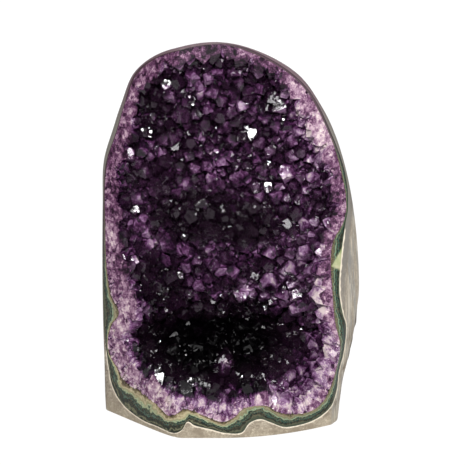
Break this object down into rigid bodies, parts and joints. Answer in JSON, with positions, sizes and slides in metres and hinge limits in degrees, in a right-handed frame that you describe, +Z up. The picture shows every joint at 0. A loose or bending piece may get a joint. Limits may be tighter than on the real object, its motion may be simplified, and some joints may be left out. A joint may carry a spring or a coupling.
{
  "type": "amethyst cluster",
  "caption": "Cut-base amethyst geode: a tall open stone with a rough basalt back, a ground rim with a banded green agate lining, and a deep hollow crusted with purple crystal points.",
  "frame": {"origin": "on the sawn base, under the middle of the stone's bounding box", "axes": "+Z up along the stone's height, -Y the way the hollow opens, +X to the right when looking into the hollow"},
  "size_m": [0.1382, 0.0978, 0.1993],
  "materials": {
    "basalt": "matte",
    "agate": "gloss",
    "amethyst": "polished"
  },
  "bodies": {
    "root": {"rock_shell": "basalt", "agate_lining": "agate", "crystal_crust": "amethyst"}
  },
  "joints": []
}
